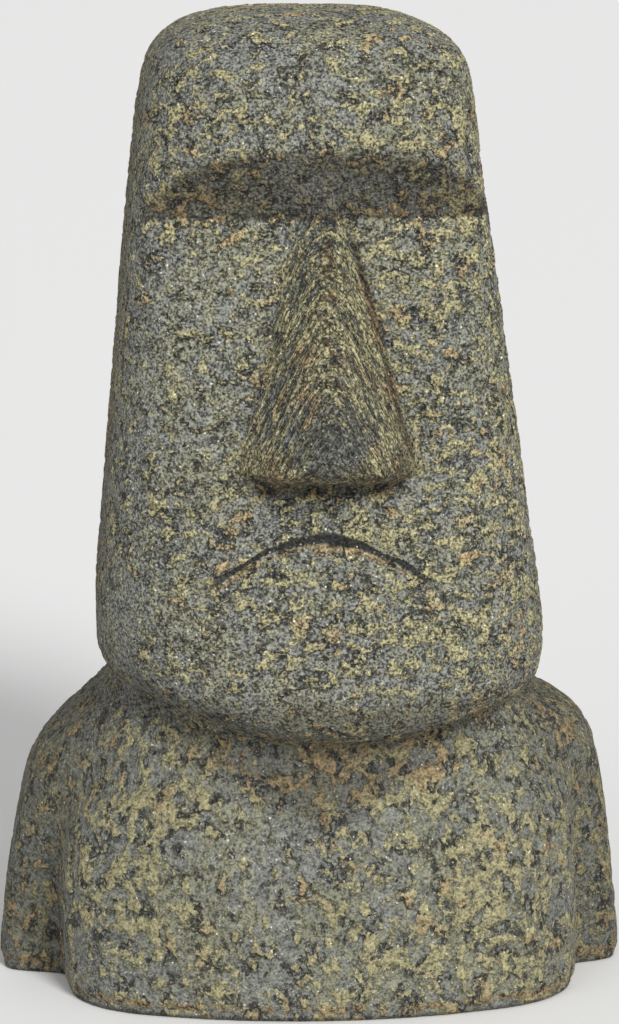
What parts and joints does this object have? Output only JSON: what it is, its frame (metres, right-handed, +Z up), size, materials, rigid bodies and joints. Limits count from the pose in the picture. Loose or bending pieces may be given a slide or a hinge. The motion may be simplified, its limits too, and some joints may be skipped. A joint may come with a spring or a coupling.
{
  "type": "moai stone head statue",
  "caption": "Long moai stone head on a short bust with arm stubs, made as one solid block that stands by its own weight on a flat underside.",
  "frame": {"origin": "bottom centre of the bounding box, on the flat underside that the statue stands on", "axes": "+Z up, the face looks along -Y, and +X is on the right of someone facing the statue"},
  "size_m": [0.3286, 0.2456, 0.5],
  "materials": {
    "stone": "sand-textured cast stone, dark grey with ochre and olive flakes, matt"
  },
  "bodies": {
    "root": {"moai_statue": "stone"}
  },
  "joints": []
}
